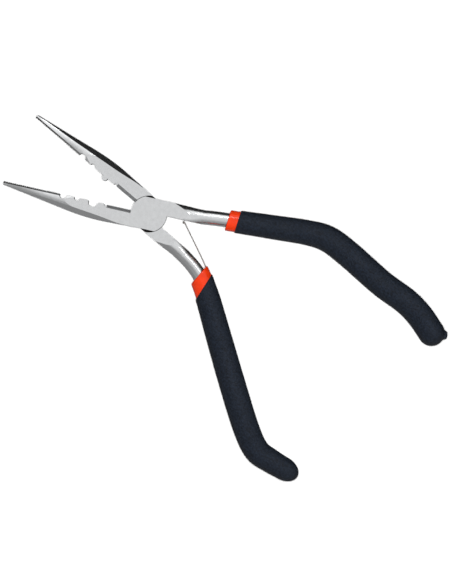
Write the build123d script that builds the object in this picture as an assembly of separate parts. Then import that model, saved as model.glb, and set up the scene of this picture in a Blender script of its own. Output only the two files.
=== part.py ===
from build123d import *
import os
from math import cos, radians, sin

# Pistol-grip fishing pliers: two crossed levers with a lap joint at the pivot, long serrated jaws, crimping
# notches, a side cutter, a leaf spring between the shanks and two-layer hand grips.
#
# Frame: the origin is on the pivot axis, in the flat back face of the joint. +X bisects the open jaws towards
# their tips, +Z is the pivot axis towards the front. Each lever is drawn with the jaws closed, where its jaw
# meets the other on the plane y = 0, and is then turned by half the resting jaw opening.

# ---- Driving dimensions, in millimetres and degrees ----
JAW_OPENING = 27.5          # between the jaws as the relaxed spring holds them
JOINT_THICKNESS = 10.0      # both halves of the lap joint together
LAP_GAP = 0.1               # between the two halves' sliding faces
MEETING_GAP = 0.05          # from each jaw's face to the plane where the jaws meet
DISC_RADIUS = 10.75         # each lever's half-thickness disc
RECESS_RADIUS = 11.05       # the shoulder that the other lever's disc turns against
JAW_LENGTH = 89.2           # pivot to tip
NECK_END = 31.5             # pivot to where the flat neck has become a round bar

RIVET_RADIUS = 4.0
RIVET_CLEARANCE = 0.05
RIVET_HEAD_RADIUS = 6.2
RIVET_HEAD_DEPTH = 2.2
RIVET_BLIND_COVER = 1.5     # steel left over the rivet's front end

TOOTH_FIRST = 62.9
TOOTH_PITCH = 1.25
TOOTH_DEPTH = 0.85
TOOTH_COUNT = 21
CUTTER_START = 10.9
CUTTER_END = 25.6

LEAF_WIDTH = 6.0
LEAF_THICKNESS = 0.5
LEAF_EYE_RADIUS = 0.7
LEAF_RIVET_RADIUS = 1.25
LEAF_RIVET_HEAD_RADIUS = 2.1
LEAF_RIVET_HEAD_HEIGHT = 0.7
LEAF_RIVET_LENGTH = 3.6

MID = JOINT_THICKNESS / 2   # height of the middle plane
FRONT, BACK = 1, -1         # the front lever's jaw is on the +Y side, the back lever's on the -Y side

# Necks, bars, sleeves and grips are lofted through stations (x, y, half width, half height), from the joint
# backwards. A neck is the rounded end of the flat plate, and runs down to the size of its bar.
FRONT_NECK = [(-10, -4.7, 7.2, 11.0), (-21, -4.5, 5.5, 5.6), (-33, -5.6, 4.3, 4.35)]
BACK_NECK = [(-10, 4.7, 7.2, 11.0), (-21, 4.4, 5.3, 5.5), (-33, 5.75, 4.15, 4.35)]
FRONT_BAR = [
    (-27, -5.05, 4.3, 4.35), (-36, -5.95, 4.3, 4.35), (-45, -6.85, 4.3, 4.3), (-57.5, -7.75, 4.2, 4.2),
    (-70, -8.65, 4.1, 4.1), (-82.5, -9.5, 4.0, 4.0), (-95, -10.4, 3.9, 3.9), (-108, -9.4, 3.9, 3.9),
    (-122, -3.3, 3.9, 3.9), (-133.5, 3.0, 3.8, 3.8), (-145, 9.2, 3.7, 3.7), (-153.5, 12.9, 3.55, 3.55),
    (-162, 16.6, 3.4, 3.4), (-171, 22.4, 3.1, 3.1),
]
BACK_BAR = [
    (-27, 5.0, 4.15, 4.35), (-33.5, 5.75, 4.15, 4.35), (-40, 6.6, 4.2, 4.3), (-50, 9.75, 4.3, 4.3),
    (-60, 15.85, 4.2, 4.2), (-70, 22.55, 4.15, 4.15), (-80, 29.25, 4.1, 4.1), (-92.5, 37.5, 4.0, 4.0),
    (-105, 45.8, 3.9, 3.9), (-116.5, 53.1, 3.85, 3.85), (-128, 60.3, 3.8, 3.8), (-141, 66.1, 3.6, 3.6),
    (-149, 65.8, 3.4, 3.4), (-156, 64.8, 3.2, 3.2),
]
FRONT_SLEEVE = [
    (-40, -6.4, 6.3, 6.3), (-50, -7.15, 6.25, 6.25), (-60, -7.9, 6.15, 6.15), (-70, -8.65, 5.9, 5.9),
    (-82.5, -9.5, 5.8, 5.8), (-95, -10.4, 5.7, 5.7), (-108, -9.4, 5.7, 5.7), (-122, -3.3, 5.7, 5.7),
    (-133.5, 3.0, 5.6, 5.6), (-145, 9.2, 5.5, 5.5), (-153.5, 12.9, 5.4, 5.4), (-162, 16.6, 5.3, 5.3),
    (-174, 24.8, 4.9, 4.9),
]
BACK_SLEEVE = [
    (-38, 5.5, 6.8, 6.8), (-48, 8.8, 6.8, 6.8), (-60, 15.85, 6.6, 6.6), (-70, 22.55, 6.35, 6.35),
    (-80, 29.25, 6.1, 6.1), (-92.5, 37.5, 5.95, 5.95), (-105, 45.8, 5.8, 5.8), (-116.5, 53.1, 5.75, 5.75),
    (-128, 60.3, 5.7, 5.7), (-141, 66.1, 5.4, 5.4), (-150, 65.6, 5.1, 5.1), (-158, 64.4, 4.7, 4.7),
]
FRONT_GRIP = [
    (-45, -6.85, 6.8, 6.8), (-54, -7.5, 6.9, 6.9), (-64.5, -8.25, 7.1, 7.1), (-75, -9.05, 7.25, 7.25),
    (-85, -9.75, 7.4, 7.4), (-95, -10.4, 7.5, 7.6), (-108, -9.4, 8.0, 8.0), (-122, -3.3, 8.1, 8.1),
    (-133.5, 3.0, 8.1, 8.1), (-145, 9.2, 8.05, 8.05), (-153.5, 12.9, 8.05, 8.05), (-162, 16.6, 8.05, 8.05),
    (-172, 23.2, 8.05, 8.05), (-181, 31.5, 8.0, 8.0),
]
BACK_GRIP = [
    (-44, 6.6, 7.3, 7.3), (-52, 11.2, 7.3, 7.3), (-60, 15.85, 7.35, 7.35), (-70, 22.55, 7.5, 7.5),
    (-80, 29.25, 7.7, 7.7), (-92.5, 37.5, 7.8, 7.8), (-105, 45.8, 7.9, 7.9), (-116.5, 53.1, 7.9, 7.9),
    (-128, 60.3, 7.85, 7.85), (-141, 66.1, 7.65, 7.65), (-151, 65.5, 7.3, 7.3), (-160, 64.0, 6.95, 6.95),
]
FRONT_GRIP_DOME = 8.0
BACK_GRIP_DOME = 10.0
FRONT_SLEEVE_DOME = 4.0
BACK_SLEEVE_DOME = 4.0

# The soft layers are cut off almost square to the closed jaws: (x at y = 0, lean of the cut in degrees).
FRONT_SLEEVE_MOUTH = (-46.3, -4.5)
FRONT_GRIP_MOUTH = (-52.2, -5.0)
BACK_SLEEVE_MOUTH = (-46.4, 0.0)
BACK_GRIP_MOUTH = (-51.7, 7.7)

# The leaf spring's path in the back lever's closed frame: tail in the grip, mouth of the sleeve, free end.
LEAF_TAIL = [(-61.0, 11.9), (-52.5, 6.55)]
LEAF_MOUTH = (-46.0, 1.9)
LEAF_FREE = [(-40, -1.0), (-30, -5.4), (-19.3, -10.1)]


def prism(points, low, high):
    """A solid between two heights from a plan outline's corners."""
    return extrude(Plane.XY.offset(low) * make_face(Polyline(*points, close=True)), high - low)


def across(points, start, end):
    """A solid from x = start to x = end from (y, z) corners."""
    section = make_face(Polyline(*[(start, y, z) for y, z in points], close=True))
    return extrude(section, amount=end - start, dir=(1, 0, 0))


def on_side(side, shape):
    """The shape for the front lever's side, or its mirror image for the back lever."""
    return shape if side == FRONT else mirror(shape, about=Plane.XZ)


def station_planes(stations):
    """Planes square to the line through the stations, with their X axes level."""
    planes = []
    for i, (x, y, *_) in enumerate(stations):
        ahead = stations[min(i + 1, len(stations) - 1)]
        behind = stations[max(i - 1, 0)]
        run = Vector(ahead[0] - behind[0], ahead[1] - behind[1], 0).normalized()
        planes.append(Plane(origin=(x, y, MID), x_dir=(-run.Y, run.X, 0), z_dir=run))
    return planes


def bar(stations, dome=0.0):
    """A bar lofted through elliptical sections, with a rounded far end if a dome length is given."""
    planes = station_planes(stations)
    sections = [plane * Ellipse(half_width, half_height)
                for plane, (_, _, half_width, half_height) in zip(planes, stations)]
    body = loft(sections)
    if dome:
        radius = stations[-1][2]
        arc = EllipticalCenterArc((0, 0), radius, dome, start_angle=0, arc_size=90)
        quarter = make_face([arc, Line((0, dome), (0, 0)), Line((0, 0), (radius, 0))])
        cap = revolve(Plane.XZ * quarter, Axis.Z)
        body += planes[-1] * cap
    return body


def behind(mouth):
    """Everything on the hand's side of a soft layer's mouth."""
    x, lean = mouth
    reach = 300
    return Pos(x, 0, MID) * Rot(0, 0, lean) * Pos(-reach / 2, 0, 0) * Box(reach, reach, 60)


def plan(heel, neck_inner, neck_outer):
    """The forging's outline from neck to jaw tip, on the front lever's side."""
    flat = -9.8
    heel_x = -(DISC_RADIUS ** 2 - heel ** 2) ** 0.5
    flat_x = (DISC_RADIUS ** 2 - flat ** 2) ** 0.5
    inner_x = -(DISC_RADIUS ** 2 - neck_inner ** 2) ** 0.5
    upper_mid = radians(145)
    lower_mid = radians(-30)
    return make_face([
        Line((DISC_RADIUS, MEETING_GAP), (JAW_LENGTH, MEETING_GAP)),
        Line((JAW_LENGTH, MEETING_GAP), (JAW_LENGTH, 2.2)),
        Line((JAW_LENGTH, 2.2), (52, 8.1)),
        ThreePointArc((52, 8.1), (40, 9.75), (27, 10.3)),
        Line((27, 10.3), (5, heel)),
        Line((5, heel), (heel_x, heel)),
        ThreePointArc(
            (heel_x, heel),
            (DISC_RADIUS * cos(upper_mid), DISC_RADIUS * sin(upper_mid)),
            (inner_x, neck_inner),
        ),
        Line((inner_x, neck_inner), (-NECK_END, neck_inner)),
        Line((-NECK_END, neck_inner), (-NECK_END, neck_outer)),
        Line((-NECK_END, neck_outer), (-14, flat)),
        Line((-14, flat), (flat_x, flat)),
        ThreePointArc(
            (flat_x, flat),
            (DISC_RADIUS * cos(lower_mid), DISC_RADIUS * sin(lower_mid)),
            (DISC_RADIUS, MEETING_GAP),
        ),
    ])


def nose():
    """The jaw's crowned body: ellipses (x, centre y, half width, half height) that shrink to the tip."""
    stations = [
        (11, 0.7, 12.0, 9.2), (30, 3.0, 9.0, 7.2), (40, 3.0, 8.2, 6.0),
        (51, 3.0, 6.6, 5.0), (70, 1.8, 4.3, 3.25), (91, 0.4, 2.1, 1.5),
    ]
    return loft([
        Plane(origin=(x, y, MID), x_dir=(0, 1, 0), z_dir=(1, 0, 0)) * Ellipse(half_width, half_height)
        for x, y, half_width, half_height in stations
    ])


def outer_facets():
    """The envelope of the jaw's steep ground flanks, front and back, which meet in a narrow outer edge.

    Each station is (x, outer edge y, facet width, facet top above mid, outer edge's half height).
    """
    stations = [
        (11, 9.9, 0.4, 5.0, 4.2), (21, 10.2, 1.3, 5.0, 3.0), (31, 10.3, 2.8, 5.0, 1.4),
        (41, 9.65, 3.2, 5.0, 0.9), (51, 8.3, 2.9, 4.7, 0.8), (61, 6.65, 2.3, 4.0, 0.7),
        (71, 5.05, 1.7, 3.2, 0.6), (81, 3.5, 1.2, 2.4, 0.5), (91, 1.9, 0.8, 1.6, 0.4),
    ]
    sections = []
    for x, outer, width, top, edge in stations:
        above = 4.0
        back_off = width * (1 + above / (top - edge))
        corners = [
            (x, -6, MID - top - above), (x, outer - back_off, MID - top - above), (x, outer, MID - edge),
            (x, outer, MID + edge), (x, outer - back_off, MID + top + above), (x, -6, MID + top + above),
        ]
        sections.append(make_face(Polyline(*corners, close=True)))
    return loft(sections)


def teeth():
    """The V grooves across the jaw's gripping face."""
    half = TOOTH_PITCH * 0.47
    grooves = [
        prism([(x - half, -0.2), (x, MEETING_GAP + TOOTH_DEPTH), (x + half, -0.2)], 0, JOINT_THICKNESS)
        for x in [TOOTH_FIRST + i * TOOTH_PITCH for i in range(TOOTH_COUNT)]
    ]
    return Part() + grooves


def inner_chamfer():
    """The bevels along the front and back corners of the gripping face, narrower towards the tip."""
    def triangle(x, low, high):
        return make_face(Polyline((x, -1, low), (x, 3, high), (x, -1, high + 1), close=True))

    wedge = loft(
        [triangle(54.5, MID + 2.8, MID + 6.0), triangle(92, MID - 0.3, MID + 2.9)],
        ruled=True,
    )
    return wedge + mirror(wedge, about=Plane.XY.offset(MID))


def cutter_bevels():
    """Both bevels of the side cutter, which leave a narrow cutting edge at mid thickness."""
    edge = 0.2
    top = JOINT_THICKNESS
    corners = [(-1, top + 0.5), (2.08, top + 0.5), (MEETING_GAP + 0.05, MID + edge), (-1, MID + edge)]
    bevel = across(corners, CUTTER_START, CUTTER_END)
    return bevel + mirror(bevel, about=Plane.XY.offset(MID))


def crimp_notches(deep):
    """The two U-shaped crimping notches and the relief beside the cutter; deep is the larger notch's depth."""
    slots = Part()
    for start, end, depth in ((50.2, 54.7, deep), (42.3, 45.7, deep - 0.7)):
        half = (end - start) / 2
        middle = (start + end) / 2
        outline = make_face([
            Line((start, -1), (end, -1)),
            Line((end, -1), (end, depth - half * 0.6)),
            ThreePointArc((end, depth - half * 0.6), (middle, depth), (start, depth - half * 0.6)),
            Line((start, depth - half * 0.6), (start, -1)),
        ])
        slots += extrude(outline, JOINT_THICKNESS)
    return slots + prism([(CUTTER_END, -1), (27.5, -1), (27.3, 0.8), (CUTTER_END, 1.0)], 0, JOINT_THICKNESS)


def crimp_socket():
    """The front jaw's socket for the back jaw's crimping tooth."""
    return prism([(30.9, -1), (31.0, 0.7), (32.8, 3.5), (35.0, 3.3), (36.7, 2.3), (37.3, -1)], 0, JOINT_THICKNESS)


def crimp_tooth():
    """The back jaw's rounded crimping tooth, which rises past the meeting plane."""
    start, end, height = 32.5, 35.9, 2.3
    middle = (start + end) / 2
    outline = make_face([
        Line((start, 1), (start, -height * 0.45)),
        ThreePointArc((start, -height * 0.45), (middle, -height), (end, -height * 0.45)),
        Line((end, -height * 0.45), (end, 1)),
        Line((end, 1), (start, 1)),
    ])
    return extrude(Plane.XY.offset(0.6) * outline, JOINT_THICKNESS - 1.2)


def forging(side, outline, neck_stations, bar_stations):
    """One lever: jaw, half of the lap joint, neck and the bar that runs on into the hand grip."""
    thick = JOINT_THICKNESS
    plate = extrude(outline, thick)
    jaw = plate & Pos(13 + 100, 0, MID) * Box(200, 60, 30) & nose() & outer_facets()
    hub = plate & Pos(0.5, 0, MID) * Box(25, 60, 30)
    neck_span = Pos(-12 - (NECK_END - 12) / 2, 0, MID) * Box(NECK_END - 12, 60, 30)
    neck = on_side(side, plate) & neck_span & bar(neck_stations)
    tang = bar(bar_stations) & Pos(-NECK_END - 200, 0, MID) * Box(400, 400, 60)

    jaw -= teeth()
    jaw -= inner_chamfer()
    jaw -= crimp_notches(2.6 if side == FRONT else 2.2)
    jaw = jaw - crimp_socket() if side == FRONT else jaw + crimp_tooth()
    body = on_side(side, jaw + hub - cutter_bevels()) + neck + tang

    height = MID + 1
    lap = MID + side * LAP_GAP / 2
    recess = Pos(0, 0, lap - side * height / 2) * Cylinder(RECESS_RADIUS, height)
    return body - recess


def rivet(clearance):
    """The pivot rivet from its flush back head to its hidden front end, or the hole for it."""
    length = JOINT_THICKNESS - RIVET_BLIND_COVER
    bottom = (Align.CENTER, Align.CENTER, Align.MIN)
    shank = Cylinder(RIVET_RADIUS + clearance, length, align=bottom)
    head = Cone(RIVET_HEAD_RADIUS + clearance, RIVET_RADIUS + clearance, RIVET_HEAD_DEPTH, align=bottom)
    return shank + head


def seat_plane():
    """The plane of the leaf's seat on the tang: its X axis runs along the tail, its Z axis out of the steel."""
    (x0, y0), (x1, y1) = LEAF_TAIL
    run = Vector(x1 - x0, y1 - y0, 0).normalized()
    middle = ((x0 + x1) / 2, (y0 + y1) / 2, MID)
    return Plane(origin=middle, x_dir=run, z_dir=(run.Y, -run.X, 0))


def leaf_seat():
    """The flat milled into the tang under the leaf's tail, open towards the front handle."""
    plane = seat_plane().offset(-LEAF_THICKNESS / 2)
    return plane * Pos(1, 0, 5) * Box(16, 12, 10)


def leaf():
    """The leaf spring: a strip on edge from its riveted tail to the eye rolled at its free end."""
    tail = Line(*LEAF_TAIL)
    tail_run = tail % 1
    free_run = Vector(LEAF_FREE[-1][0] - LEAF_FREE[-2][0], LEAF_FREE[-1][1] - LEAF_FREE[-2][1])
    free = Spline(LEAF_TAIL[-1], LEAF_MOUTH, *LEAF_FREE, tangents=[tail_run, free_run.normalized()])
    path = Wire([Plane.XY.offset(MID) * tail, Plane.XY.offset(MID) * free])
    section = Plane(origin=path @ 0, x_dir=(0, 0, 1), z_dir=path % 0) * Rectangle(LEAF_WIDTH, LEAF_THICKNESS)
    strip = sweep(section, path)
    side_step = free_run.normalized().rotate(Axis.Z, 90) * (LEAF_EYE_RADIUS - LEAF_THICKNESS / 2)
    end = Vector(*LEAF_FREE[-1], MID) + Vector(side_step.X, side_step.Y, 0)
    ring = Cylinder(LEAF_EYE_RADIUS, LEAF_WIDTH) - Cylinder(LEAF_EYE_RADIUS - LEAF_THICKNESS, LEAF_WIDTH)
    hole = Cylinder(LEAF_RIVET_RADIUS, 4)
    return strip + Pos(end.X, end.Y, end.Z) * ring - seat_plane() * hole


def leaf_rivet():
    """The small rivet that holds the leaf's tail on its seat."""
    head_low = LEAF_THICKNESS / 2
    bottom = (Align.CENTER, Align.CENTER, Align.MIN)
    shank = Pos(0, 0, head_low - LEAF_RIVET_LENGTH) * Cylinder(
        LEAF_RIVET_RADIUS, LEAF_RIVET_LENGTH, align=bottom)
    head = Pos(0, 0, head_low) * Cylinder(LEAF_RIVET_HEAD_RADIUS, LEAF_RIVET_HEAD_HEIGHT, align=bottom)
    return seat_plane() * (shank + head)


def place(side, shape):
    """Turns a lever's piece from the closed pose to the resting one."""
    return Rot(0, 0, side * JAW_OPENING / 2) * shape


def build():
    """Every piece of the pliers, by name, in the resting pose."""
    front_plan = plan(heel=9.4, neck_inner=-1.2, neck_outer=-9.9)
    back_plan = plan(heel=9.7, neck_inner=-1.4, neck_outer=-9.9)
    front_lever = forging(FRONT, front_plan, FRONT_NECK, FRONT_BAR) - rivet(0.0)
    back_lever = forging(BACK, back_plan, BACK_NECK, BACK_BAR) - rivet(RIVET_CLEARANCE)
    back_lever = back_lever - leaf_seat() - leaf_rivet()
    spring = leaf()
    spring_rivet = leaf_rivet()

    front_core = bar(FRONT_SLEEVE, FRONT_SLEEVE_DOME) & behind(FRONT_SLEEVE_MOUTH)
    back_core = bar(BACK_SLEEVE, BACK_SLEEVE_DOME) & behind(BACK_SLEEVE_MOUTH)
    front_sleeve = front_core - bar(FRONT_BAR)
    back_sleeve = back_core - back_lever - spring - spring_rivet
    front_grip = (bar(FRONT_GRIP, FRONT_GRIP_DOME) & behind(FRONT_GRIP_MOUTH)) - front_core
    back_grip = (bar(BACK_GRIP, BACK_GRIP_DOME) & behind(BACK_GRIP_MOUTH)) - back_core
    return {
        "front_lever": place(FRONT, front_lever),
        "back_lever": place(BACK, back_lever),
        "pivot_rivet": rivet(0.0),
        "return_spring": place(BACK, spring),
        "spring_rivet": place(BACK, spring_rivet),
        "front_inner_sleeve": place(FRONT, front_sleeve),
        "back_inner_sleeve": place(BACK, back_sleeve),
        "front_outer_grip": place(FRONT, front_grip),
        "back_outer_grip": place(BACK, back_grip),
    }


os.makedirs("parts", exist_ok=True)
for name, piece in build().items():
    export_step(piece, f"parts/{name}.step")
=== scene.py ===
from math import cos, degrees, radians, sin, tau

import bmesh
import bpy
from mathutils import Matrix, Vector


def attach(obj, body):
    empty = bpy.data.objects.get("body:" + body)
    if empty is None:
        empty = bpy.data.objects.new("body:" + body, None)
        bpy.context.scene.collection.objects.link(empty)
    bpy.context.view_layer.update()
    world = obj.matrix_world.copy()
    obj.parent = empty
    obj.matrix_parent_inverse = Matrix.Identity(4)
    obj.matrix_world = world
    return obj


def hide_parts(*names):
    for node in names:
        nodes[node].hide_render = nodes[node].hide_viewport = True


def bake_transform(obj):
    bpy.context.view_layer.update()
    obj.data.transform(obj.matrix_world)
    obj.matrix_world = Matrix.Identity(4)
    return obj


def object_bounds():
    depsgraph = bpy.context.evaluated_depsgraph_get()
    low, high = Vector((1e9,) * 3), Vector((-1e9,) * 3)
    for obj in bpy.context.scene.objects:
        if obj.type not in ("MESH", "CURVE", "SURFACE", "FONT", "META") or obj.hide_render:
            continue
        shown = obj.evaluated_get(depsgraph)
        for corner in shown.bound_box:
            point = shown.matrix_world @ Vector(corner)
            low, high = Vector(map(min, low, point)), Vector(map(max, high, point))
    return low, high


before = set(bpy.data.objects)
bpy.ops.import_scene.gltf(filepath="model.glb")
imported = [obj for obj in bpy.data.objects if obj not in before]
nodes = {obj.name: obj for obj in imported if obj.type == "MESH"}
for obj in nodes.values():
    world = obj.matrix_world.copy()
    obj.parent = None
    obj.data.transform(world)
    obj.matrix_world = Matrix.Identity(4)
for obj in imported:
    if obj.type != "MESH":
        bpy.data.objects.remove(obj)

cad_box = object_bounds()
MM = 0.001

# ---- What the pliers' looks are worked out from, in millimetres in each lever's closed frame ----
JAW_OPENING = 27.5
MID = 5.0                  # height of the middle plane over the joint's back face
FRONT, BACK = 1, -1

# Where each lever's steel differs from its plain ground faces.
LAP_OFFSET = 0.05          # from the middle plane to each sliding face
RECESS_RADIUS = 11.2
TOOTH_DARK_DEPTH = 0.9          # how far the darker strip along the teeth reaches in from the gripping face
CUTTER_START, CUTTER_END = 10.6, 27.3
BEVEL_DEPTH = 2.1
# Painted shade for the joint's recess; the same dark colour also makes the darker strip along the teeth.
RECESS_SHADE_AND_TOOTH_DARK = (0.012, 0.011, 0.010, 1)

# Centre lines (x, y, radius) of the dipped layers, from the neck backwards.
FRONT_SLEEVE = [
    (-44, -6.75, 6.3), (-55, -7.5, 6.25), (-70, -8.65, 5.9),
]
BACK_SLEEVE = [
    (-38, 5.5, 6.8), (-48, 8.8, 6.8), (-60, 15.85, 6.6),
]
FRONT_GRIP = [
    (-45, -6.85, 6.8), (-54, -7.5, 6.9), (-75, -9.05, 7.25), (-95, -10.4, 7.55),
    (-108, -9.4, 8.0), (-122, -3.3, 8.1), (-145, 9.2, 8.05), (-162, 16.6, 8.05),
    (-172, 23.2, 8.05), (-181, 31.5, 8.0),
]
BACK_GRIP = [
    (-44, 6.6, 7.3), (-52, 11.2, 7.3), (-60, 15.85, 7.35), (-80, 29.25, 7.7),
    (-105, 45.8, 7.9), (-128, 60.3, 7.85), (-141, 66.1, 7.65), (-151, 65.5, 7.3),
    (-160, 64.0, 6.95),
]


# The leaf spring from its tail in the grip to its free end, and the stretch over which it bends.
LEAF_MOUTH = (-46.0, 1.9)
LEAF_LINE = [(-61.0, 11.9), (-52.5, 6.55), LEAF_MOUTH, (-40, -1.0), (-30, -5.4), (-19.3, -10.1)]


def resting(side):
    """From a lever's closed frame in millimetres to the resting row frame in metres."""
    return Matrix.Rotation(side * radians(JAW_OPENING / 2), 4, "Z") @ Matrix.Scale(MM, 4)


# ---- Materials ----

# A mix node's colour sockets share their names with its number sockets, so they are picked by index.
MIX_FACTOR, MIX_COLOUR_A, MIX_COLOUR_B = 0, 6, 7
MIX_COLOUR_RESULT = 2


def new_material(name):
    material = bpy.data.materials.new(name)
    material.use_nodes = True
    tree = material.node_tree
    return material, tree, tree.nodes["Principled BSDF"]


def link(tree, source, output, target, socket):
    tree.links.new(source.outputs[output], target.inputs[socket])


def add(tree, kind, **values):
    node = tree.nodes.new(kind)
    for key, value in values.items():
        setattr(node, key, value)
    return node


def measure(tree, where, direction):
    """The object coordinate along a direction."""
    dot = add(tree, "ShaderNodeVectorMath", operation="DOT_PRODUCT")
    dot.inputs[1].default_value = direction
    link(tree, where, "Object", dot, "Vector")
    return dot


def ramp(tree, source, start, end, low, high):
    """A smooth step of a number from low at start to high at end."""
    node = add(tree, "ShaderNodeMapRange", interpolation_type="SMOOTHSTEP")
    for socket, value in (("From Min", start), ("From Max", end), ("To Min", low), ("To Max", high)):
        node.inputs[socket].default_value = value
    tree.links.new(source.outputs["Value"], node.inputs["Value"])
    return node.outputs["Result"]


def combine(tree, operation, first, second):
    node = add(tree, "ShaderNodeMath", operation=operation)
    tree.links.new(first, node.inputs[0])
    tree.links.new(second, node.inputs[1])
    return node.outputs["Value"]


def recess_shade_mask(tree, where, height):
    """1 on a lever's sliding face within the joint's recess, where the steel is darkened as painted shade,
    and 0 elsewhere.
    """
    parts = add(tree, "ShaderNodeSeparateXYZ")
    link(tree, where, "Object", parts, "Vector")
    level = add(tree, "ShaderNodeMath", operation="COMPARE")
    level.inputs[1].default_value = height
    level.inputs[2].default_value = 0.2 * MM
    link(tree, parts, "Z", level, "Value")
    flat = add(tree, "ShaderNodeVectorMath", operation="MULTIPLY")
    flat.inputs[1].default_value = (1, 1, 0)
    link(tree, where, "Object", flat, "Vector")
    reach = add(tree, "ShaderNodeVectorMath", operation="LENGTH")
    link(tree, flat, "Vector", reach, "Vector")
    inside = ramp(tree, reach, RECESS_RADIUS * MM, (RECESS_RADIUS + 0.1) * MM, 1, 0)
    return combine(tree, "MULTIPLY", level.outputs["Value"], inside)


def steel(name, colour, roughness, grain_angle, side=0):
    """Satin nickel over ground steel: fine brushing across the tool, faint blotches, and a soft bump.

    side picks out a lever, which gets painted shade on its sliding face inside the joint's recess and a
    darker strip along its teeth, stronger towards the tip, and is ground rougher on the side cutter's bevel.
    """
    material, tree, shader = new_material(name)
    shader.inputs["Metallic"].default_value = 1.0
    where = add(tree, "ShaderNodeTexCoord")
    turn = add(tree, "ShaderNodeMapping")
    turn.inputs["Rotation"].default_value = (0, 0, radians(grain_angle))
    turn.inputs["Scale"].default_value = (2600, 200, 900)
    brushing = add(tree, "ShaderNodeTexNoise")
    brushing.inputs["Scale"].default_value = 1.0
    brushing.inputs["Detail"].default_value = 3.0
    blotches = add(tree, "ShaderNodeTexNoise")
    blotches.inputs["Scale"].default_value = 420.0
    blotches.inputs["Detail"].default_value = 4.0
    link(tree, where, "Object", turn, "Vector")
    link(tree, turn, "Vector", brushing, "Vector")
    link(tree, where, "Object", blotches, "Vector")
    rough = add(tree, "ShaderNodeMapRange")
    rough.inputs["From Min"].default_value = 0.3
    rough.inputs["From Max"].default_value = 0.7
    rough.inputs["To Min"].default_value = roughness - 0.05
    rough.inputs["To Max"].default_value = roughness + 0.06
    link(tree, brushing, "Fac", rough, "Value")
    tint = add(tree, "ShaderNodeValToRGB")
    tint.color_ramp.elements[0].position = 0.3
    tint.color_ramp.elements[0].color = (*[c * 0.94 for c in colour], 1)
    tint.color_ramp.elements[1].position = 0.7
    tint.color_ramp.elements[1].color = (*colour, 1)
    link(tree, blotches, "Fac", tint, "Fac")
    paint, finish = tint.outputs["Color"], rough.outputs["Result"]
    if side:
        turn_angle = radians(JAW_OPENING / 2)
        forward = measure(tree, where, (cos(turn_angle), side * sin(turn_angle), 0))
        depth = measure(tree, where, (-sin(turn_angle), side * cos(turn_angle), 0))
        # A darker strip along the gripping teeth, stronger towards the tip.
        toothed = combine(
            tree, "MULTIPLY",
            ramp(tree, depth, TOOTH_DARK_DEPTH * MM, (TOOTH_DARK_DEPTH + 0.3) * MM, 1, 0),
            ramp(tree, forward, 60 * MM, 78 * MM, 0.35, 0.95),
        )
        on_jaw = ramp(tree, forward, 53 * MM, 56 * MM, 0, 1)
        tooth_dark = combine(tree, "MULTIPLY", toothed, on_jaw)
        # Painted shade on the sliding face in the joint's recess and the darker strip along the teeth are
        # mixed into the base colour.
        dark = combine(tree, "MAXIMUM", tooth_dark, recess_shade_mask(tree, where, (MID + side * LAP_OFFSET) * MM))
        shade_and_tooth_dark_mix = add(tree, "ShaderNodeMix", data_type="RGBA")
        tree.links.new(dark, shade_and_tooth_dark_mix.inputs[MIX_FACTOR])
        tree.links.new(paint, shade_and_tooth_dark_mix.inputs[MIX_COLOUR_A])
        shade_and_tooth_dark_mix.inputs[MIX_COLOUR_B].default_value = RECESS_SHADE_AND_TOOTH_DARK
        paint = shade_and_tooth_dark_mix.outputs[MIX_COLOUR_RESULT]
        cutter = combine(
            tree, "MULTIPLY",
            ramp(tree, depth, BEVEL_DEPTH * MM, (BEVEL_DEPTH + 0.2) * MM, 0.55, 0),
            ramp(tree, forward, CUTTER_END * MM, (CUTTER_END + 0.2) * MM, 1, 0),
        )
        past_hub = ramp(tree, forward, CUTTER_START * MM, (CUTTER_START + 0.2) * MM, 0, 1)
        cutter = combine(tree, "MULTIPLY", cutter, past_hub)
        finish = combine(tree, "MAXIMUM", finish, cutter)
    tree.links.new(paint, shader.inputs["Base Color"])
    tree.links.new(finish, shader.inputs["Roughness"])
    bump = add(tree, "ShaderNodeBump")
    bump.inputs["Strength"].default_value = 0.1
    bump.inputs["Distance"].default_value = 0.00002
    link(tree, brushing, "Fac", bump, "Height")
    link(tree, bump, "Normal", shader, "Normal")
    return material


def vinyl(name, colour):
    """Glossy dipped vinyl with a faint unevenness under the gloss."""
    material, tree, shader = new_material(name)
    where = add(tree, "ShaderNodeTexCoord")
    waves = add(tree, "ShaderNodeTexNoise")
    waves.inputs["Scale"].default_value = 260.0
    waves.inputs["Detail"].default_value = 2.0
    link(tree, where, "Object", waves, "Vector")
    tint = add(tree, "ShaderNodeValToRGB")
    tint.color_ramp.elements[0].position = 0.25
    tint.color_ramp.elements[0].color = (*[c * 0.82 for c in colour], 1)
    tint.color_ramp.elements[1].position = 0.7
    tint.color_ramp.elements[1].color = (*colour, 1)
    link(tree, waves, "Fac", tint, "Fac")
    link(tree, tint, "Color", shader, "Base Color")
    shader.inputs["Roughness"].default_value = 0.12
    shader.inputs["Specular IOR Level"].default_value = 0.35
    bump = add(tree, "ShaderNodeBump")
    bump.inputs["Strength"].default_value = 0.12
    bump.inputs["Distance"].default_value = 0.00015
    link(tree, waves, "Fac", bump, "Height")
    link(tree, bump, "Normal", shader, "Normal")
    return material


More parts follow.
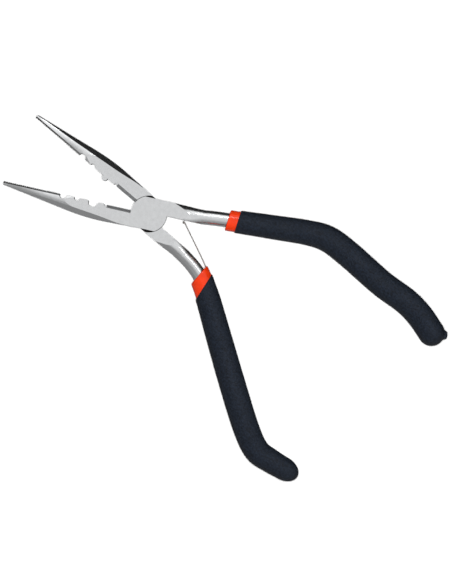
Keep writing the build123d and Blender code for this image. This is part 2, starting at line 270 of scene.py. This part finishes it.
def grained_plastic(name, colour):
    """Matte black soft plastic with a fine pebbled grain and a blue-black sheen."""
    material, tree, shader = new_material(name)
    where = add(tree, "ShaderNodeTexCoord")
    pebbles = add(tree, "ShaderNodeTexVoronoi")
    pebbles.inputs["Scale"].default_value = 1500.0
    speckle = add(tree, "ShaderNodeTexNoise")
    speckle.inputs["Scale"].default_value = 900.0
    speckle.inputs["Detail"].default_value = 5.0
    patches = add(tree, "ShaderNodeTexNoise")
    patches.inputs["Scale"].default_value = 90.0
    patches.inputs["Detail"].default_value = 3.0
    for texture in (pebbles, speckle, patches):
        link(tree, where, "Object", texture, "Vector")
    tint = add(tree, "ShaderNodeValToRGB")
    tint.color_ramp.elements[0].position = 0.3
    tint.color_ramp.elements[0].color = (*[c * 0.45 for c in colour], 1)
    tint.color_ramp.elements[1].position = 0.72
    tint.color_ramp.elements[1].color = (*[c * 2.0 for c in colour], 1)
    link(tree, speckle, "Fac", tint, "Fac")
    link(tree, tint, "Color", shader, "Base Color")
    rough = add(tree, "ShaderNodeMapRange")
    rough.inputs["From Min"].default_value = 0.3
    rough.inputs["From Max"].default_value = 0.7
    rough.inputs["To Min"].default_value = 0.42
    rough.inputs["To Max"].default_value = 0.56
    link(tree, patches, "Fac", rough, "Value")
    link(tree, rough, "Result", shader, "Roughness")
    shader.inputs["Specular IOR Level"].default_value = 0.27
    heights = add(tree, "ShaderNodeMath", operation="ADD")
    tree.links.new(pebbles.outputs["Distance"], heights.inputs[0])
    tree.links.new(speckle.outputs["Fac"], heights.inputs[1])
    bump = add(tree, "ShaderNodeBump")
    bump.inputs["Strength"].default_value = 0.9
    bump.inputs["Distance"].default_value = 0.0003
    link(tree, heights, "Value", bump, "Height")
    link(tree, bump, "Normal", shader, "Normal")
    return material


FRONT_STEEL = steel("front_forged_steel", (0.78, 0.79, 0.80), 0.21, 10, FRONT)
BACK_STEEL = steel("back_forged_steel", (0.78, 0.79, 0.80), 0.21, -20, BACK)
RIVET = steel("rivet_steel", (0.70, 0.71, 0.72), 0.30, 70)
SPRING = steel("spring_steel", (0.36, 0.33, 0.30), 0.3, 0)
ORANGE = vinyl("orange_vinyl", (0.82, 0.042, 0.004))
BLACK = grained_plastic("black_grip_plastic", (0.006, 0.0088, 0.0145))


def dress(obj, material):
    obj.data.materials.clear()
    obj.data.materials.append(material)


# ---- Meshes ----

def spline_samples(stations, per_span):
    """Points (position, radius) along a Catmull-Rom line through the stations."""
    first = Vector(stations[0][:2]) * 2 - Vector(stations[1][:2])
    last = Vector(stations[-1][:2]) * 2 - Vector(stations[-2][:2])
    places = [first] + [Vector(s[:2]) for s in stations] + [last]
    radii = [stations[0][2]] + [s[2] for s in stations] + [stations[-1][2]]
    samples = []
    for i in range(1, len(places) - 2):
        for k in range(per_span):
            t = k / per_span
            weights = (
                -0.5 * t + t * t - 0.5 * t ** 3, 1 - 2.5 * t * t + 1.5 * t ** 3,
                0.5 * t + 2 * t * t - 1.5 * t ** 3, -0.5 * t * t + 0.5 * t ** 3,
            )
            spot = sum((w * places[i - 1 + n] for n, w in enumerate(weights)), Vector((0, 0)))
            radius = sum(w * radii[i - 1 + n] for n, w in enumerate(weights))
            samples.append((Vector((spot.x, spot.y, MID)), radius))
    samples.append((Vector((*stations[-1][:2], MID)), stations[-1][2]))
    return samples


def frames_along(samples):
    """Each sample with its across and up directions; up is always the tool's +Z."""
    up = Vector((0, 0, 1))
    framed = []
    for i, (spot, radius) in enumerate(samples):
        run = (samples[min(i + 1, len(samples) - 1)][0] - samples[max(i - 1, 0)][0]).normalized()
        framed.append((spot, radius, run.cross(up).normalized(), up, run))
    return framed


def ring_mesh(name, rings, close_start, close_end, matrix):
    """A smooth mesh skinned over rings of points, with its ends closed where asked."""
    mesh = bmesh.new()
    loops = [[mesh.verts.new(matrix @ point) for point in ring] for ring in rings]
    count = len(rings[0])
    for near, far in zip(loops, loops[1:]):
        for i in range(count):
            j = (i + 1) % count
            mesh.faces.new((near[i], near[j], far[j], far[i]))
    if close_start:
        mesh.faces.new(list(reversed(loops[0])))
    if close_end:
        mesh.faces.new(loops[-1])
    bmesh.ops.recalc_face_normals(mesh, faces=mesh.faces)
    data = bpy.data.meshes.new(name)
    mesh.to_mesh(data)
    mesh.free()
    data.shade_smooth()
    obj = bpy.data.objects.new(name, data)
    bpy.context.scene.collection.objects.link(obj)
    return obj


def dipped_tube(name, side, stations, mouth, inner, dome, nub, around=72):
    """A dipped layer: a slanted open mouth with a rolled lip, a skin along the handle and a rounded far end.

    mouth is (x where the cut crosses y = 0, its lean in degrees), inner the radius of what the layer covers.
    nub is (direction in degrees, half width in degrees, height) of the stub on the far end, or None.
    """
    framed = frames_along(spline_samples(stations, 14))
    x_cut, lean = mouth
    cut_point = Vector((x_cut, 0, MID))
    cut_normal = Vector((-cos(radians(lean)), -sin(radians(lean)), 0))

    def skin(place, angle, radius):
        spot, _, across, up, _ = framed[place]
        return spot + (across * cos(angle) + up * sin(angle)) * radius

    def past_cut(point):
        return (point - cut_point).dot(cut_normal)

    def on_line(angle, radius_at, past):
        """The point of one lengthwise line that stands a given distance past the cut."""
        for place in range(len(framed) - 1):
            near = skin(place, angle, radius_at(framed[place][1]))
            far = skin(place + 1, angle, radius_at(framed[place + 1][1]))
            low, high = past_cut(near), past_cut(far)
            if low <= past <= high:
                return near.lerp(far, (past - low) / (high - low))
        raise ValueError(f"{name}: the cut misses the layer")

    angles = [tau * i / around for i in range(around)]
    wall = stations[1][2] - inner
    lip = [(3.0, 0.0), (0.4, 0.0), (0.1, 0.12 * wall), (0.0, 0.35 * wall), (0.02, 0.6 * wall),
           (0.12, 0.84 * wall), (0.3, 0.96 * wall), (0.6, wall)]
    rings = [
        [on_line(angle, lambda radius, h=height: radius - wall + h, past) for angle in angles]
        for past, height in lip
    ]
    first_clear = next(
        place for place in range(len(framed))
        if min(past_cut(skin(place, angle, framed[place][1])) for angle in angles) > 0.9
    )
    lead_in = 6
    last_lip = rings[-1]
    first_ring = [skin(first_clear, angle, framed[first_clear][1]) for angle in angles]
    for step in range(1, lead_in):
        rings.append([
            near.lerp(far, step / lead_in) for near, far in zip(last_lip, first_ring)
        ])
    for place in range(first_clear, len(framed)):
        rings.append([skin(place, angle, framed[place][1]) for angle in angles])
    spot, radius, across, up, run = framed[-1]
    turns = 24
    body_rings_near_end = 14
    for step in range(1, turns):
        bend = radians(90) * step / turns
        middle = spot + run * dome * sin(bend)
        rings.append([
            middle + (across * cos(angle) + up * sin(angle)) * radius * cos(bend) for angle in angles
        ])
    if nub:
        direction, half_width, height = nub
        outwards = Vector((cos(radians(direction)), sin(radians(direction)), 0))
        for ring in rings[-turns - body_rings_near_end:]:
            for point in ring:
                off_axis = degrees((point - spot).angle(outwards)) / half_width
                if off_axis < 1:
                    rise = min(1.0, (1 - off_axis) * 2.5)
                    point += outwards * height * rise * rise * (3 - 2 * rise)
    return ring_mesh(name, rings, False, True, resting(side))


def leaf_spring():
    """The strip on edge from its tail in the grip to the eye rolled at its free end."""
    thickness, width, eye = 0.5, 6.0, 0.45
    samples = [spot for spot, _ in spline_samples([(*p, 1.0) for p in LEAF_LINE], 10)]
    run = (samples[-1] - samples[-2]).normalized()
    left = Vector((-run.y, run.x, 0))
    centre = samples[-1] + left * eye
    for step in range(1, 14):
        turn = radians(24) * step
        samples.append(centre + (run * sin(turn) - left * cos(turn)) * eye)
    rings = []
    for i, spot in enumerate(samples):
        run = (samples[min(i + 1, len(samples) - 1)] - samples[max(i - 1, 0)]).normalized()
        across = Vector((-run.y, run.x, 0))
        half, tall, corner = thickness / 2, width / 2, 0.12
        outline = [
            (half, tall - corner), (half - corner, tall), (corner - half, tall), (-half, tall - corner),
            (-half, corner - tall), (corner - half, -tall), (half - corner, -tall), (half, corner - tall),
        ]
        rings.append([spot + across * a + Vector((0, 0, b)) for a, b in outline])
    piece = ring_mesh("leaf_strip", rings, True, True, resting(BACK))
    piece.data.set_sharp_from_angle(angle=radians(40))
    return piece


# ---- Pieces ----

dress(nodes["front_lever"], FRONT_STEEL)
dress(nodes["back_lever"], BACK_STEEL)
for node in ("pivot_rivet", "spring_rivet"):
    dress(nodes[node], RIVET)

FRONT_NUB = (182.0, 24.0, 1.7)
HIDDEN_SLEEVE_RADIUS = 5.6


def inside(grip):
    """The stretch of a sleeve's centre line that its grip hides."""
    return [(x, y, HIDDEN_SLEEVE_RADIUS) for x, y, _ in grip[3:-1]]


LAYERS = [
    # name, side, centre line, mouth, inner radius, dome length, stub, material, body, replaced node, slot
    ("front_collar_sleeve", FRONT, FRONT_SLEEVE + inside(FRONT_GRIP), (-46.3, -4.5), 4.35, 5.0, None, ORANGE,
     "front_half", "front_inner_sleeve", "orange_sleeve"),
    ("back_collar_sleeve", BACK, BACK_SLEEVE + inside(BACK_GRIP), (-46.4, 0.0), 4.4, 5.0, None, ORANGE,
     "back_half", "back_inner_sleeve", "orange_sleeve"),
    ("front_grip_skin", FRONT, FRONT_GRIP, (-52.2, -5.0), 6.25, 8.0, FRONT_NUB, BLACK,
     "front_half", "front_outer_grip", "black_grip"),
    ("back_grip_skin", BACK, BACK_GRIP, (-51.7, 7.7), 6.75, 10.0, None, BLACK,
     "back_half", "back_outer_grip", "black_grip"),
]
for name, side, stations, mouth, inner, dome, nub, material, body, node, slot in LAYERS:
    piece = dipped_tube(name, side, stations, mouth, inner, dome, nub)
    dress(piece, material)
    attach(piece, body)
    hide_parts(node)

spring = leaf_spring()
dress(spring, SPRING)
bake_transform(spring)
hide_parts("return_spring")


# ---- Stage, light and camera ----

IMAGE_UP = Vector((0.4485, -0.8938, 0.0))
IMAGE_RIGHT = Vector((-0.8938, -0.4485, 0.0))
VIEW_CENTRE = Vector((-0.0622, 0.0210, 0.005))
VIEW_HEIGHT = 0.3504
TENT_BRIGHT = 1.15
TENT_SIDES = 0.85
TENT_TOP = 0.80
RING_RISE = Vector((0, 0, 1.5))


def heading(angle):
    """A level direction, in degrees round from the picture's right towards its top."""
    return (IMAGE_RIGHT * cos(radians(angle)) + IMAGE_UP * sin(radians(angle))).normalized()



def floor():
    size = 3.0
    under = Vector((VIEW_CENTRE.x, VIEW_CENTRE.y, cad_box[0][2] - 0.0002))
    bpy.ops.mesh.primitive_plane_add(size=size, location=under)
    plane = bpy.context.object
    plane.name = "studio_floor"
    material, tree, shader = new_material("floor_white")
    shader.inputs["Base Color"].default_value = (0.95, 0.95, 0.95, 1)
    shader.inputs["Roughness"].default_value = 0.9
    shader.inputs["Specular IOR Level"].default_value = 0.1
    plane.data.materials.append(material)
    plane.visible_glossy = False


def surroundings():
    """A white tent for the steel to reflect, brightest at the picture's upper left and shaded at its left.

    Below the horizon it is dark towards the picture's top and grey towards its foot.
    """
    world = bpy.data.worlds.new("studio")
    bpy.context.scene.world = world
    world.use_nodes = True
    tree = world.node_tree
    back = tree.nodes["Background"]
    where = add(tree, "ShaderNodeTexCoord")

    def along(direction):
        dot = add(tree, "ShaderNodeVectorMath", operation="DOT_PRODUCT")
        dot.inputs[1].default_value = direction
        link(tree, where, "Generated", dot, "Vector")
        return dot

    height = along((0, 0, 1))
    sides = ramp(tree, along(heading(140)), 0.05, 0.35, TENT_SIDES, TENT_BRIGHT)
    upright = ramp(tree, height, 0.88, 0.985, 0.0, 1.0)
    tent = add(tree, "ShaderNodeMix", data_type="FLOAT")
    tree.links.new(upright, tent.inputs["Factor"])
    tree.links.new(sides, tent.inputs["A"])
    tent.inputs["B"].default_value = TENT_TOP
    flag = ramp(tree, along(heading(203)), 0.06, 0.52, 1.0, 0.36)
    below = ramp(tree, along(IMAGE_UP), -0.6, 0.25, 0.28, 0.02)
    flagged = combine(tree, "MULTIPLY", tent.outputs["Result"], flag)
    horizon = ramp(tree, height, 0.14, 0.48, 0.0, 1.0)
    whole = add(tree, "ShaderNodeMix", data_type="FLOAT")
    tree.links.new(horizon, whole.inputs["Factor"])
    tree.links.new(below, whole.inputs["A"])
    tree.links.new(flagged, whole.inputs["B"])
    link(tree, whole, "Result", back, "Color")
    back.inputs["Strength"].default_value = 1.0
    world.cycles_visibility.diffuse = False


def area_light(name, place, target, size, power, in_gloss):
    data = bpy.data.lights.new(name, "AREA")
    data.shape = "RECTANGLE"
    data.size, data.size_y = size
    data.energy = power
    lamp = bpy.data.objects.new(name, data)
    lamp.location = place
    lamp.rotation_euler = (target - place).to_track_quat("-Z", "Y").to_euler()
    lamp.visible_camera = False
    lamp.visible_glossy = in_gloss
    bpy.context.scene.collection.objects.link(lamp)


def camera():
    distance = 1.8
    data = bpy.data.cameras.new("camera")
    data.sensor_fit = "VERTICAL"
    data.sensor_height = 24
    data.lens = data.sensor_height * distance / VIEW_HEIGHT
    eye = bpy.data.objects.new("camera", data)
    facing = Matrix((IMAGE_RIGHT, IMAGE_UP, Vector((0, 0, 1)))).transposed()
    eye.matrix_world = Matrix.Translation(VIEW_CENTRE + Vector((0, 0, distance))) @ facing.to_4x4()
    bpy.context.scene.collection.objects.link(eye)
    bpy.context.scene.camera = eye


floor()
surroundings()
area_light("ring", VIEW_CENTRE + RING_RISE, VIEW_CENTRE, (0.25, 0.25), 27, False)
GLINTS = [
    # name, the collar's place right of and above the view's centre, heading across the collar
    ("front_glint", (0.005, 0.043), 80),
    ("back_glint", (-0.014, 0.013), 42),
]
for name, collar, sideways in GLINTS:
    spot = VIEW_CENTRE + IMAGE_RIGHT * collar[0] + IMAGE_UP * collar[1]
    place = spot + heading(sideways) * 0.8 + Vector((0, 0, 0.95))
    area_light(name, place, spot, (0.11, 0.11), 0.45, True)
camera()
bpy.context.scene.view_settings.view_transform = "Standard"
